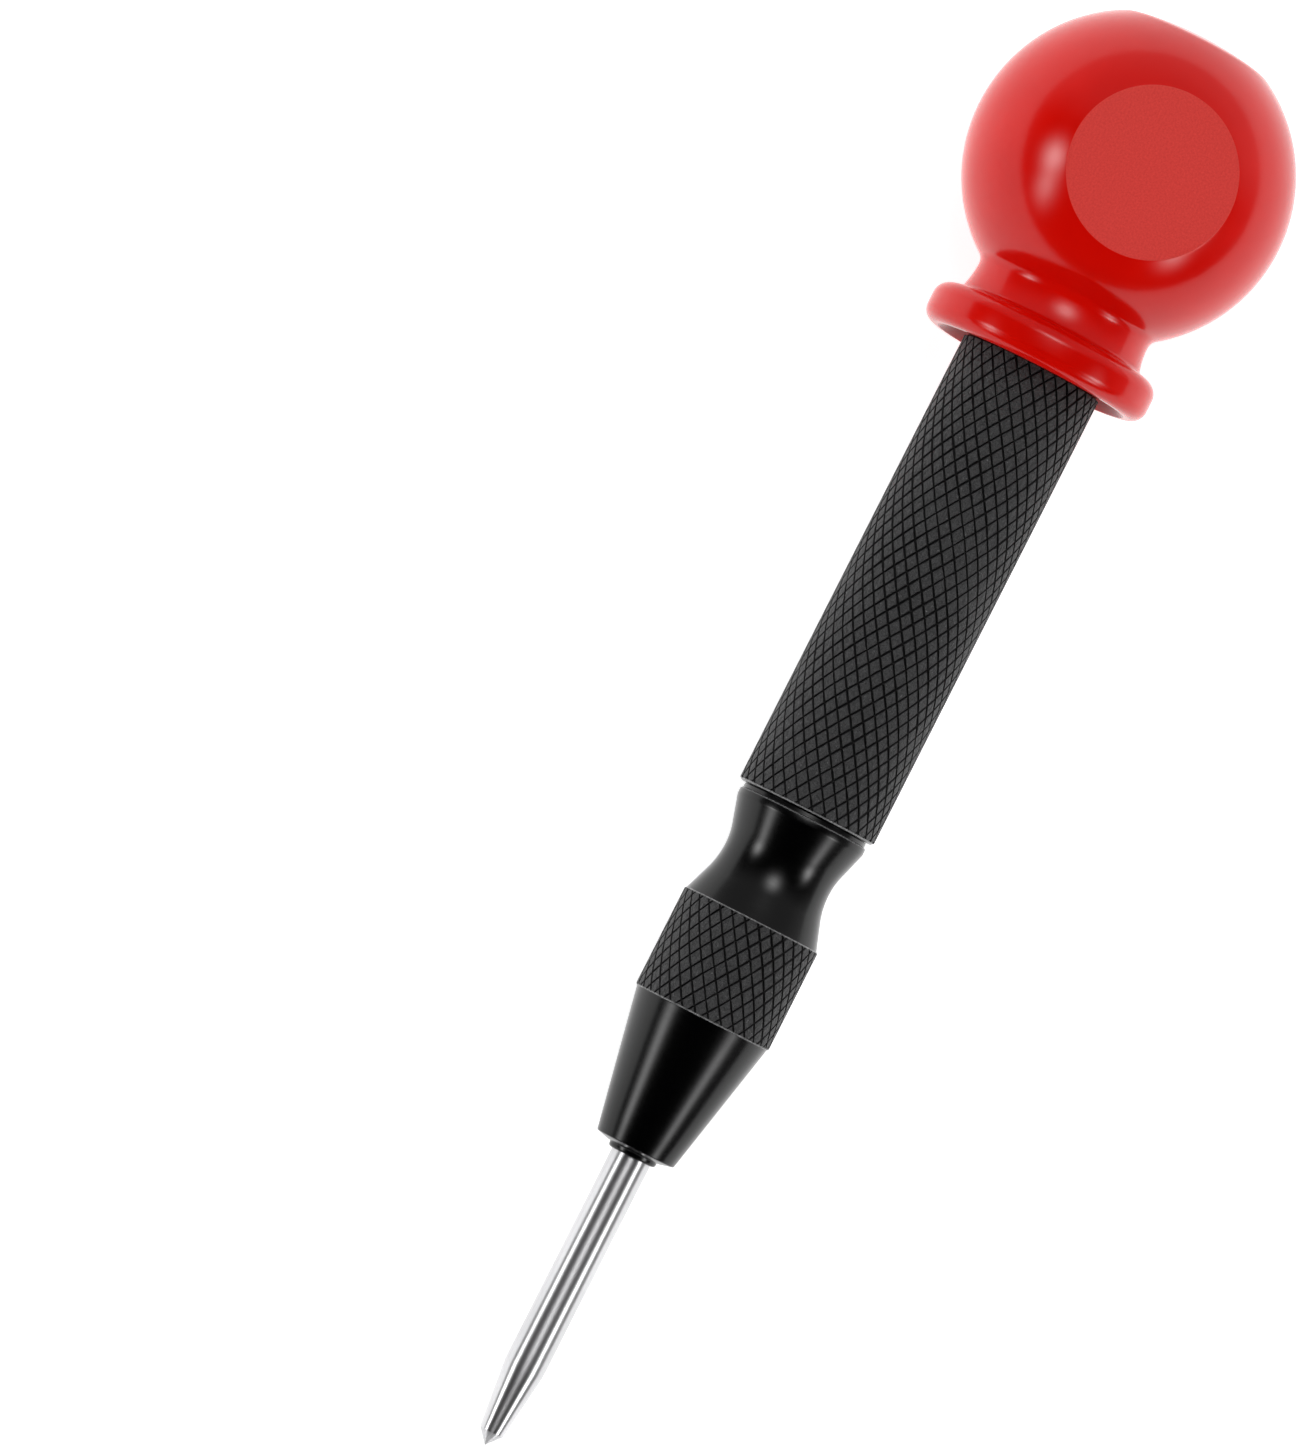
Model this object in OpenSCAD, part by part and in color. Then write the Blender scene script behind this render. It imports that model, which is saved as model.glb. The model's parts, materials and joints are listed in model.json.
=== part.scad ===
// Automatic centre punch with a ball knob, lying on a flat surface.
// Every turned piece is drawn upright, with its height s measured along the punch
// from the very tip (s = 0) towards the knob, and lay() then lays the whole tool down.
// X runs along the tool towards the knob and Z is up.

/* [Point] */
// Diameter of the point's shank
point_d = 4; // [3.8:0.02:4]
// Length of the point that stands out of the nose
point_out = 30.1; // [26:0.1:34]
// Length of the conical tip
tip_l = 1.4; // [1:0.1:2]
// Diameter where the conical tip meets the long taper
tip_d = 2.43; // [2:0.01:2.8]
// Distance from the very tip to the end of the long taper
taper_end = 8; // [6:0.1:10]
// Diameter of the point's head, inside the nose
point_head_d = 6; // [5.4:0.1:6.4]
// Length of the point's head
point_head_l = 4.65; // [3.5:0.05:4.65]

/* [Nose cap] */
// Diameter of the knurled band, a little more than the large end of the cone
nose_d = 13.86; // [13:0.02:13.9]
// Length of the small lip around the point
nose_lip_l = 0.5; // [0.3:0.1:0.8]
// Outer diameter of the small lip around the point
nose_lip_d = 4.86; // [4.6:0.02:5.2]
// Diameter of the cone's small end
nose_cone_d = 8; // [7:0.1:9]
// Length of the cone
nose_cone_l = 13.65; // [12:0.05:15]
// Length of the knurled band
nose_knurl_l = 10.3; // [9:0.1:12]
// Diameter at the bottom of the waist
waist_d = 10.88; // [10.8:0.01:11.2]
// Diameter of the thread that screws into the barrel
nose_thread_d = 10.9; // [10.4:0.05:10.9]
// Length of the thread and its relief groove
nose_thread_l = 9.2; // [8:0.1:9.2]

/* [Barrel] */
// Diameter of the barrel over its knurling
barrel_d = 14; // [14:0.02:14.2]
// Length of the barrel without its top thread
barrel_l = 49.4; // [49.4:0.1:52]
// Outer diameter of the thread that carries the knob
knob_thread_d = 12; // [11.6:0.05:12]
// Length of the thread that carries the knob
knob_thread_l = 18; // [17:0.1:18]
// Bore that the hammer slides in
hammer_bore_d = 9.6; // [9.5:0.02:9.6]
// Hole in the web that aligns the release pin
web_hole_d = 5; // [4.96:0.02:5.2]

/* [Striking parts] */
// How far the point is pushed in before the hammer is released
stroke = 12; // [8:0.5:12]
// How far the release pin leans over at rest, in degrees
pin_lean = 1.5; // [0.5:0.1:1.5]
// Thickness of the main spring's wire
main_wire_d = 1.3; // [1:0.05:1.35]
// Number of turns of the main spring
main_turns = 10; // [8:1:11]
// Thickness of the tower spring's wire
tower_wire_d = 0.5; // [0.4:0.05:0.55]
// Number of turns of the tower spring
tower_turns = 14; // [10:1:16]

/* [Knob] */
// Diameter of the ball
ball_d = 31.3; // [30.6:0.1:32]
// Distance from the ball's middle to its flat end
ball_top = 14.55; // [14.4:0.05:15.2]
// Distance from the axis to each side flat
ball_flat = 13.4; // [12.6:0.1:14]
// Diameter of the flange at the knob's mouth
flange_d = 22.9; // [22.8:0.1:24]
// Height of the flange
flange_h = 4.05; // [4:0.05:4.5]
// Diameter of the neck between the flange and the ball
neck_d = 17.9; // [17.2:0.1:18]
// Diameter of the knob's open mouth
mouth_d = 18.9; // [18:0.1:19.4]
// Outer diameter of the threaded cap that is moulded into the knob
cap_d = 14.8; // [14.7:0.05:15]

/* [Hidden] */
$fn = 96;
arc_steps = 10;

// Running clearance on the radius, thread clearance on the radius, and small gaps
guide_gap = 0.05;
hammer_gap = 0.08;
rest_gap = 0.05;
shoulder_gap = 0.3;
chamfer = 0.25;

// Stations along the punch, from the tip
nose_s = point_out;
cone_s = nose_s + nose_lip_l + 0.35;
knurl_s = cone_s + nose_cone_l;
band_s = knurl_s + 0.2;
band_step = 0.15;
waist_s = knurl_s + nose_knurl_l;
waist_low_s = waist_s + 5.54;
waist_lip_r = 6.53;
shoulder_s = waist_s + 10.9;
seat_s = nose_s + 17.9;
head_s = seat_s + rest_gap;
point_l = head_s + point_head_l;
barrel_s = shoulder_s + shoulder_gap;
nose_end_s = shoulder_s + nose_thread_l;
web_s = barrel_s + 17.9;
web_l = 4;
hammer_floor_s = web_s + web_l;
barrel_top_s = barrel_s + barrel_l;
thread_top_s = barrel_top_s + knob_thread_l;
knob_s = barrel_top_s - 3.1;
ball_s = knob_s + 20.35;
top_s = ball_s + ball_top;
cap_s = barrel_top_s + 3.5;
cap_inside_s = cap_s + 18;
cap_top_s = cap_inside_s + 2.5;

// Inner parts
nose_chamber_r = 3.7;
pin_foot_s = point_l + 0.1;
pin_stem_r = 2.2;
pin_tip_r = 1.5;
pin_shoulder_s = hammer_floor_s - stroke + 0.5;
pin_top_s = hammer_floor_s - 0.1;
hammer_s = hammer_floor_s + 0.1;
hammer_r = hammer_bore_d / 2 - hammer_gap;
hammer_l = 17.9;
spigot_r = 2.6;
spigot_l = 3;
washer_s = cap_inside_s - 1;
main_r = 3.75;
main_low_s = hammer_s + hammer_l + rest_gap;
main_high_s = washer_s - rest_gap;
tower_r = 3.3;
tower_top_r = 4.1;
tower_low_s = pin_foot_s + 2.15;
tower_flare_s = nose_end_s + 0.4;
tower_high_s = web_s - 2.05;

// The tool lies on the lower edge of its knurled nose band and on the rim of the
// knob's lower flat, so its axis climbs a little towards the knob
flat_rim_r = sqrt(pow(ball_d / 2, 2) - pow(ball_flat, 2));
end_rim_r = sqrt(pow(ball_d / 2, 2) - pow(ball_top, 2));
rim_s = ball_s - flat_rim_r;
lie_angle = atan((ball_flat - nose_d / 2) / (rim_s - band_s));
lift = nose_d / 2 * cos(lie_angle) - band_s * sin(lie_angle);
back = -(top_s * cos(lie_angle) + end_rim_r * sin(lie_angle)) / 2;

// Lays an upright piece down along X
module lay() translate([back, 0, lift]) rotate([0, 90 - lie_angle, 0]) children();

// A turned piece from its half profile of [radius, station] points
module turned(profile) rotate_extrude() polygon(profile);

// Points along an arc, from angle a0 to angle a1
function arc(cx, cy, r, a0, a1) =
    [for (i = [0 : arc_steps]) let (a = a0 + (a1 - a0) * i / arc_steps)
        [cx + r * cos(a), cy + r * sin(a)]];

// The waist's hollow: two arcs that meet at its bottom, with straight slopes to the
// band and to the lip
waist_r = waist_d / 2;
waist_low_r = 10;
waist_high_r = 8.8;
waist_low_a = 19.3;
waist_high_a = 17.5;
waist_high_s = waist_low_s + waist_high_r * sin(waist_high_a);
waist_high_end_r = waist_r + waist_high_r * (1 - cos(waist_high_a));
lip_s = waist_high_s + (waist_lip_r - waist_high_end_r) / tan(waist_high_a);
waist_profile = concat(
    arc(waist_r + waist_low_r, waist_low_s, waist_low_r, 180 + waist_low_a, 180),
    arc(waist_r + waist_high_r, waist_low_s, waist_high_r, 180, 180 - waist_high_a));

// A round wire wound on the given middle line, one ring of points a step
wire_sides = 8;
coil_steps = 22;
function ring(radius, angle, height, wire_r) =
    [for (k = [0 : wire_sides - 1]) let (b = 360 * k / wire_sides)
        [(radius + wire_r * cos(b)) * cos(angle), (radius + wire_r * cos(b)) * sin(angle),
         height + wire_r * sin(b)]];
function quads(rings) =
    [for (i = [0 : rings - 2], k = [0 : wire_sides - 1])
        let (a = i * wire_sides + k, b = i * wire_sides + (k + 1) % wire_sides)
        each [[a, a + wire_sides, b], [b, a + wire_sides, b + wire_sides]]];
module coil(rings) {
    count = len(rings);
    first = [for (k = [0 : wire_sides - 1]) k];
    last = [for (k = [wire_sides - 1 : -1 : 0]) (count - 1) * wire_sides + k];
    polyhedron(
        points = [for (one = rings) each one],
        faces = concat([first], quads(count), [last]));
}

// Height along a coil after t turns, where its end turns lie close together
end_turns = 1.25;
function coil_height(t, turns, low, high, close) =
    let (open = (high - low - 2 * end_turns * close) / (turns - 2 * end_turns))
    t < end_turns ? low + close * t
    : t > turns - end_turns ? high - close * (turns - t)
    : low + close * end_turns + open * (t - end_turns);

// Knurled tube: nose thread below, web with the aligning hole, hammer bore above
module barrel() {
    thread_r = nose_thread_d / 2 + guide_gap;
    grip_end_s = knob_s + 0.2;
    hidden_r = barrel_d / 2 - 0.3;
    color("#2c2e32") lay() turned([
        [thread_r + chamfer, barrel_s],
        [barrel_d / 2 - chamfer, barrel_s],
        [barrel_d / 2, barrel_s + chamfer],
        [barrel_d / 2, grip_end_s],
        [hidden_r, grip_end_s],
        [hidden_r, barrel_top_s - chamfer],
        [hidden_r - chamfer, barrel_top_s],
        [knob_thread_d / 2 - 0.45, barrel_top_s],
        [knob_thread_d / 2 - 0.45, barrel_top_s + 1.2],
        [knob_thread_d / 2, barrel_top_s + 1.65],
        [knob_thread_d / 2, thread_top_s - 0.5],
        [knob_thread_d / 2 - 0.5, thread_top_s],
        [hammer_bore_d / 2, thread_top_s],
        [hammer_bore_d / 2, hammer_floor_s],
        [web_hole_d / 2, hammer_floor_s],
        [web_hole_d / 2, web_s],
        [4.5, web_s - 2],
        [4.5, nose_end_s + 0.5],
        [thread_r, nose_end_s + 0.5],
        [thread_r, barrel_s + chamfer]
    ]);
}

// Nose: cone, knurled band, waist and the thread that screws into the barrel
module nose_cap() {
    bore_r = point_d / 2 + guide_gap;
    relief_r = nose_thread_d / 2 - 0.45;
    collar_r = waist_lip_r - 0.13;
    color("#26282b") lay() turned(concat([
        [bore_r, nose_s],
        [nose_lip_d / 2 - 0.13, nose_s],
        [nose_lip_d / 2, nose_s + 0.2],
        [nose_lip_d / 2, nose_s + nose_lip_l],
        [nose_lip_d / 2 + 0.22, nose_s + nose_lip_l],
        [nose_cone_d / 2, cone_s],
        [nose_d / 2 - band_step, knurl_s],
        [nose_d / 2, band_s],
        [nose_d / 2, waist_s - band_step],
        [nose_d / 2 - band_step, waist_s]],
        waist_profile, [
        [waist_lip_r, lip_s],
        [waist_lip_r, shoulder_s - 0.3],
        [collar_r, shoulder_s - 0.2],
        [collar_r, shoulder_s + 0.25],
        [relief_r, shoulder_s + 0.25],
        [relief_r, shoulder_s + 1],
        [nose_thread_d / 2, shoulder_s + 1.45],
        [nose_thread_d / 2, nose_end_s - 0.4],
        [nose_thread_d / 2 - 0.4, nose_end_s],
        [nose_chamber_r, nose_end_s],
        [nose_chamber_r, seat_s + nose_chamber_r - bore_r],
        [bore_r, seat_s]
    ]));
}

// Headed steel point, free to slide in the nose
module punch_point() {
    bevel = (point_head_d - point_d) / 2;
    color("#c9cbce") lay() turned([
        [0, 0],
        [tip_d / 2, tip_l],
        [point_d / 2, taper_end],
        [point_d / 2, head_s],
        [point_head_d / 2, head_s + bevel],
        [point_head_d / 2, point_l - 0.4],
        [point_head_d / 2 - 0.4, point_l],
        [0, point_l]
    ]);
}

// Stepped release pin, which leans until the web straightens it
module release_pin() {
    collar_r = 3.1;
    shoulder = pin_shoulder_s - pin_foot_s;
    length = pin_top_s - pin_foot_s;
    color("#b4b6ba") lay() translate([0, 0, pin_foot_s]) rotate([0, pin_lean, 0]) turned([
        [0, 0],
        [collar_r - 0.3, 0],
        [collar_r, 0.3],
        [collar_r, 1.8],
        [collar_r - 0.2, 2],
        [pin_stem_r, 2],
        [pin_stem_r, shoulder - 0.15],
        [pin_stem_r - 0.15, shoulder],
        [pin_tip_r, shoulder],
        [pin_tip_r, length - 0.2],
        [pin_tip_r - 0.2, length],
        [0, length]
    ]);
}

// Light return spring around the release pin, flared where it meets the barrel
module tower_spring() {
    low = tower_low_s + tower_wire_d / 2;
    steps = tower_turns * coil_steps;
    function wound_r(s) =
        s < tower_flare_s ? tower_r
        : min(tower_top_r, tower_r + (tower_top_r - tower_r) * (s - tower_flare_s) / 4);
    color("#9a9ca0") lay() coil([for (i = [0 : steps])
        let (t = i / coil_steps,
             s = coil_height(t, tower_turns, low, tower_high_s, tower_wire_d * 1.1))
        ring(wound_r(s), 360 * t, s, tower_wire_d / 2)]);
}

// Hammer that is lifted by the release pin and strikes its shoulder
module hammer() {
    bore_r = pin_tip_r + 0.15;
    bore_end_s = hammer_s + stroke + 2;
    top_s = hammer_s + hammer_l;
    color("#8d8f94") lay() turned([
        [bore_r + 0.3, hammer_s],
        [hammer_r - 0.3, hammer_s],
        [hammer_r, hammer_s + 0.3],
        [hammer_r, top_s - 0.3],
        [hammer_r - 0.3, top_s],
        [spigot_r, top_s],
        [spigot_r, top_s + spigot_l - 0.4],
        [spigot_r - 0.4, top_s + spigot_l],
        [0, top_s + spigot_l],
        [0, bore_end_s + 0.95],
        [bore_r, bore_end_s],
        [bore_r, hammer_s + 0.3]
    ]);
}

// Main spring between the hammer and the knob
module main_spring() {
    low = main_low_s + main_wire_d / 2;
    high = main_high_s - main_wire_d / 2;
    steps = main_turns * coil_steps;
    color("#77797e") lay() coil([for (i = [0 : steps])
        let (t = i / coil_steps)
        ring(main_r, 360 * t, coil_height(t, main_turns, low, high, main_wire_d * 1.06),
             main_wire_d / 2)]);
}

// Thrust washer between the main spring and the knob's cap
module spring_washer() {
    color("#a9abaf") lay() turned([
        [1.5, washer_s],
        [4.4, washer_s],
        [4.6, washer_s + 0.2],
        [4.6, cap_inside_s - rest_gap],
        [1.5, cap_inside_s - rest_gap]
    ]);
}

// Brass cap with a female thread, moulded into the knob
module tail_cap() {
    thread_r = knob_thread_d / 2 + guide_gap;
    color("#b8924a") lay() turned([
        [thread_r + 0.3, cap_s],
        [cap_d / 2 - 0.3, cap_s],
        [cap_d / 2, cap_s + 0.3],
        [cap_d / 2, cap_top_s],
        [0, cap_top_s],
        [0, cap_inside_s],
        [thread_r, cap_inside_s],
        [thread_r, cap_s + 0.3]
    ]);
}

// Ball knob with a flanged mouth, an end flat and two side flats
module knob() {
    low_edge = 1.4;
    top_edge = 1.6;
    fillet = 0.75;
    flange_r = flange_d / 2;
    flange_top_s = knob_s + flange_h;
    neck_r = neck_d / 2;
    color("#c4231c") lay() difference() {
        union() {
            turned(concat([
                [0, knob_s]],
                arc(flange_r - low_edge, knob_s + low_edge, low_edge, -90, 0),
                arc(flange_r - top_edge, flange_top_s - top_edge, top_edge, 0, 90),
                arc(neck_r + fillet, flange_top_s + fillet, fillet, 270, 180), [
                [neck_r, ball_s],
                [0, ball_s]
            ]));
            intersection() {
                translate([0, 0, ball_s]) sphere(d = ball_d);
                translate([-ball_flat, -ball_d, knob_s])
                    cube([2 * ball_flat, 2 * ball_d, top_s - knob_s]);
            }
        }
        turned([
            [0, knob_s - 1],
            [mouth_d / 2, knob_s - 1],
            [mouth_d / 2, knob_s],
            [cap_d / 2, flange_top_s + 0.1],
            [cap_d / 2, cap_top_s],
            [0, cap_top_s]
        ]);
    }
}

barrel();
nose_cap();
punch_point();
release_pin();
tower_spring();
hammer();
main_spring();
spring_washer();
tail_cap();
knob();
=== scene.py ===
import json
import math

import bmesh
import bpy
import numpy as np
from mathutils import Matrix, Vector


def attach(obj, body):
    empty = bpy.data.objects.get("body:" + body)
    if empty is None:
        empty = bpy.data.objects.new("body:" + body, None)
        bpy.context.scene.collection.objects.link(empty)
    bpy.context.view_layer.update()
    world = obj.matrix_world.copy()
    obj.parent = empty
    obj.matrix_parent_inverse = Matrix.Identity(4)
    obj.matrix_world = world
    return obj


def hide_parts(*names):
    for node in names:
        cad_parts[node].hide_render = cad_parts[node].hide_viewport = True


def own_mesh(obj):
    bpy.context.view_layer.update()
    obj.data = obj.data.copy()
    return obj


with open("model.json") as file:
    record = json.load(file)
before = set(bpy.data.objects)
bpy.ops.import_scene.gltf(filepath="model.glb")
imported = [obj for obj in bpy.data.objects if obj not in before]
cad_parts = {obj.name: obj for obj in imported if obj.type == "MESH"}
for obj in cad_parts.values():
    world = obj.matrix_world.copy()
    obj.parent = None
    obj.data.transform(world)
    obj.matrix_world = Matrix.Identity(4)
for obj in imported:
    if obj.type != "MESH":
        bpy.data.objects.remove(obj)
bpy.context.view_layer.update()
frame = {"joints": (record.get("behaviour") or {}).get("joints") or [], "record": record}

# ------------------------------------------------------------------ the tool's own frame
# Pieces are built upright in millimetres, with z as the station s along the punch from
# its tip, and LAY then lays them down where the CAD model lies.
MM = 0.001
LENGTH = 147.3
JOINTS = {j["name"]: j for j in frame["joints"]}
MOUNTS = {m["name"]: m for m in frame["record"]["mounts"]}
AXIS = Vector(JOINTS["point_stroke"]["axis"]).normalized()
UP = Vector(MOUNTS["knob_upper_flat"]["axis"]).normalized()
ACROSS = Vector((0, 1, 0))
TIP = Vector(MOUNTS["knob_end"]["pos_m"]) - AXIS * LENGTH * MM
LAY = Matrix((-UP, ACROSS, AXIS)).transposed().to_4x4()
LAY.translation = TIP
LAY_MM = LAY @ Matrix.Scale(MM, 4)
PITCH = 1.0


# ------------------------------------------------------------------ mesh building
def piece(name, verts, faces, material, body, nodes, slot, smooth=30):
    """A finished piece from points in the upright frame, riding on a CAD body."""
    mesh = bpy.data.meshes.new(name)
    mesh.from_pydata([LAY_MM @ Vector(v) for v in verts], [], faces)
    mesh.validate()
    face_outwards(mesh)
    obj = bpy.data.objects.new(name, mesh)
    bpy.context.scene.collection.objects.link(obj)
    finish_surface(obj, smooth)
    mesh.materials.append(material)
    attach(obj, body)
    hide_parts(*nodes)
    return obj


def face_outwards(mesh):
    """All faces of a closed mesh turned to face out of it."""
    work = bmesh.new()
    work.from_mesh(mesh)
    bmesh.ops.recalc_face_normals(work, faces=work.faces)
    work.to_mesh(mesh)
    work.free()
    mesh.update()


def finish_surface(obj, smooth):
    """Smooth shading with sharp edges beyond the given angle."""
    obj.data.polygons.foreach_set("use_smooth", [True] * len(obj.data.polygons))
    obj.data.set_sharp_from_angle(angle=math.radians(smooth))
    obj.data.update()


def soften(profile, size=0.12, steps=3):
    """The closed profile with its corners off the axis rounded."""
    out = []
    for i, point in enumerate(profile):
        before = Vector(profile[i - 1])
        here = Vector(point)
        after = Vector(profile[(i + 1) % len(profile)])
        a, b = before - here, after - here
        turn = a.angle(-b, 0) if a.length and b.length else 0
        if here.x < 1e-6 or turn < math.radians(14):
            out.append(tuple(here))
            continue
        reach = min(size, 0.42 * a.length, 0.42 * b.length)
        start, end = here + a.normalized() * reach, here + b.normalized() * reach
        for k in range(steps + 1):
            t = k / steps
            p = start * (1 - t) ** 2 + here * 2 * t * (1 - t) + end * t * t
            out.append(tuple(p))
    return out


def arc(cx, cy, radius, start, end, steps=16):
    """Profile points along an arc, angles in degrees."""
    angles = [math.radians(start + (end - start) * i / steps) for i in range(steps + 1)]
    return [(cx + radius * math.cos(a), cy + radius * math.sin(a)) for a in angles]


def split_long(profile, longest):
    """The closed profile with its long straight stretches cut into shorter ones."""
    out = []
    for i, p in enumerate(profile):
        q = profile[(i + 1) % len(profile)]
        count = max(1, math.ceil(math.dist(p, q) / longest)) if max(p[0], q[0]) > 1e-6 else 1
        out += [(p[0] + (q[0] - p[0]) * k / count, p[1] + (q[1] - p[1]) * k / count)
                for k in range(count)]
    return out


def lathe(profile, segments=192):
    """Vertices and faces of a closed profile of (radius, s) turned about the axis."""
    verts, rings = [], []
    for r, s in profile:
        if r < 1e-6:
            rings.append([len(verts)])
            verts.append((0.0, 0.0, s))
        else:
            rings.append(list(range(len(verts), len(verts) + segments)))
            verts += [(r * math.cos(t), r * math.sin(t), s)
                      for t in np.arange(segments) * (2 * math.pi / segments)]
    faces = []
    for i, low in enumerate(rings):
        high = rings[(i + 1) % len(rings)]
        if len(low) == 1 and len(high) == 1:
            continue
        for k in range(segments):
            n = (k + 1) % segments
            if len(low) == 1:
                faces.append((low[0], high[n], high[k]))
            elif len(high) == 1:
                faces.append((low[k], low[n], high[0]))
            else:
                faces.append((low[k], low[n], high[n], high[k]))
    return verts, faces


def solid(name, verts, faces):
    """A bare object in millimetres, for cutting."""
    mesh = bpy.data.meshes.new(name)
    mesh.from_pydata([Vector(v) for v in verts], [], faces)
    mesh.validate()
    face_outwards(mesh)
    obj = bpy.data.objects.new(name, mesh)
    bpy.context.scene.collection.objects.link(obj)
    return obj


def carved(name, base, cutters):
    """Vertices and faces of base, (verts, faces), with the cutters taken away."""
    body = solid(name + "_base", *base)
    tools = [solid(f"{name}_cut_{i}", *c) for i, c in enumerate(cutters)]
    for tool in tools:
        cut = body.modifiers.new("cut", "BOOLEAN")
        cut.operation = "DIFFERENCE"
        cut.solver = "MANIFOLD"
        cut.object = tool
    evaluated = body.evaluated_get(bpy.context.evaluated_depsgraph_get())
    mesh = bpy.data.meshes.new_from_object(evaluated)
    verts = [tuple(v.co) for v in mesh.vertices]
    faces = [tuple(p.vertices) for p in mesh.polygons]
    for obj in [body, *tools]:
        bpy.data.objects.remove(obj)
    return verts, faces


def knurl_cutter(radius, s0, s1, lines, angle, depth, slope, seed):
    """What a pair of knurling wheels presses out of a cylinder: a sleeve whose inside is a
    lattice of pyramids between two families of grooves at +angle and -angle to the axis."""
    rng = np.random.default_rng(seed)
    half = math.pi / lines
    row = radius * half / math.tan(math.radians(angle))
    rows = math.ceil((s1 - s0) / row)
    columns = 2 * lines
    worn_depth, depth_scatter, place_scatter, sleeve = 0.02, 0.016, 0.02, 0.3
    groove_r = radius - depth
    peak_r = groove_r + slope * radius * half * math.cos(math.radians(angle))
    outer_r = peak_r + sleeve
    verts = []
    for k in range(rows + 1):
        for c in range(columns):
            peak = (c + k) % 2
            wave = math.sin(0.23 * c + 0.31 * k + seed) * math.sin(0.17 * k + seed)
            shallow = worn_depth * (1 + wave)
            r = (peak_r if peak else groove_r) + shallow + rng.normal(0, depth_scatter)
            s = s0 + k * row + (0 if k in (0, rows) else rng.normal(0, place_scatter))
            verts.append((r * math.cos(c * half), r * math.sin(c * half), s))
    faces = []
    for k in range(rows + 1):
        for c in range(columns):
            if (c + k) % 2 == 0:
                continue
            here = k * columns + c
            right = k * columns + (c + 1) % columns
            left = k * columns + (c - 1) % columns
            if k < rows:
                faces += [(here, here + columns, right), (here, left, here + columns)]
            if k > 0:
                faces += [(here, right, here - columns), (here, here - columns, left)]
    first_outer = len(verts)
    for s in (s0, s0 + rows * row):
        verts += [(outer_r * math.cos(c * half), outer_r * math.sin(c * half), s)
                  for c in range(columns)]
    last = rows * columns
    for c in range(columns):
        n = (c + 1) % columns
        low, high = first_outer, first_outer + columns
        faces.append((low + c, low + n, high + n, high + c))
        faces.append((c, n, low + n, low + c))
        faces.append((last + n, last + c, high + c, high + n))
    return verts, faces


def thread_cutter(crest_r, depth, s0, s1, inside=False, steps=48):
    """The V groove of a right-hand thread, PITCH a turn, as one closed sweep."""
    sign = 1 if inside else -1
    turns = (s1 - s0) / PITCH
    count = int(turns * steps)
    half = 0.44 * PITCH
    root_half, past_crest, least_depth = 0.04, 0.12, 0.02
    verts = []
    for i in range(count + 1):
        t = 2 * math.pi * i / steps
        s = s0 + PITCH * i / steps
        fade = min(1, i / steps, (count - i) / steps)
        root = crest_r + sign * depth * max(fade, least_depth)
        mouth = crest_r - sign * past_crest
        for r, ds in ((root, -root_half), (root, root_half), (mouth, half), (mouth, -half)):
            verts.append((r * math.cos(t), r * math.sin(t), s + ds))
    faces = []
    for i in range(count):
        for k in range(4):
            n = (k + 1) % 4
            a, b = 4 * i + k, 4 * i + n
            faces.append((a, b, b + 4, a + 4) if inside else (a, a + 4, b + 4, b))
    ends = [(0, 1, 2, 3), tuple(4 * count + k for k in (3, 2, 1, 0))]
    faces += [tuple(reversed(f)) for f in ends] if inside else ends
    return verts, faces


def wire(points, radius, sides=12):
    """Vertices and faces of a round wire along the given middle line."""
    line = [Vector(p) for p in points]
    verts = []
    for i, p in enumerate(line):
        ahead = (line[min(i + 1, len(line) - 1)] - line[max(i - 1, 0)]).normalized()
        out = Vector((p.x, p.y, 0)).normalized()
        out = (out - ahead * out.dot(ahead)).normalized()
        other = ahead.cross(out)
        for k in range(sides):
            b = 2 * math.pi * k / sides
            verts.append(p + (out * math.cos(b) + other * math.sin(b)) * radius)
    faces = [(i * sides + k, i * sides + (k + 1) % sides,
              (i + 1) * sides + (k + 1) % sides, (i + 1) * sides + k)
             for i in range(len(line) - 1) for k in range(sides)]
    last = (len(line) - 1) * sides
    faces += [tuple(range(sides - 1, -1, -1)), tuple(range(last, last + sides))]
    return verts, faces


def coil_line(turns, low, high, close, radius_at, end_turns=1.25, steps=48):
    """Middle line of a coil whose end turns lie close together."""
    opened = (high - low - 2 * end_turns * close) / (turns - 2 * end_turns)
    line = []
    for i in range(int(turns * steps) + 1):
        t = i / steps
        if t < end_turns:
            s = low + close * t
        elif t > turns - end_turns:
            s = high - close * (turns - t)
        else:
            s = low + close * end_turns + opened * (t - end_turns)
        r = radius_at(s)
        line.append((r * math.cos(2 * math.pi * t), r * math.sin(2 * math.pi * t), s))
    return line


# ------------------------------------------------------------------ stations and radii
# Millimetres along the punch from its tip, and from its axis
POINT_R, TIP_R, TIP_S, TAPER_S = 2.0, 1.215, 1.4, 8.0
HEAD_R, HEAD_S, POINT_TOP_S = 3.0, 48.05, 52.7
NOSE_S, LIP_S, CONE_S, CONE_END_S = 30.1, 30.6, 30.95, 44.6
BAND_S, WAIST_S, WAIST_LOW_S = 44.8, 54.9, 60.15
BAND_R, WAIST_R, SHOULDER_R, SHOULDER_S = 6.93, 5.42, 6.53, 65.8
NOSE_THREAD_R, NOSE_END_S = 5.45, 75.0
BARREL_S, BARREL_R, GRIP_END_S, BARREL_TOP_S = 66.1, 7.0, 112.6, 115.5
KNOB_THREAD_R, THREAD_TOP_S = 6.0, 133.5
WEB_S, FLOOR_S, HAMMER_BORE_R = 84.0, 88.0, 4.8
PIN_FOOT_S, PIN_LEAN = 52.85, 1.5
HAMMER_S, HAMMER_TOP_S, HAMMER_R = 88.1, 106.0, 4.72
WASHER_S, CAP_S, CAP_INSIDE_S, CAP_TOP_S, CAP_R = 136.0, 119.0, 137.0, 139.5, 7.4
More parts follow.
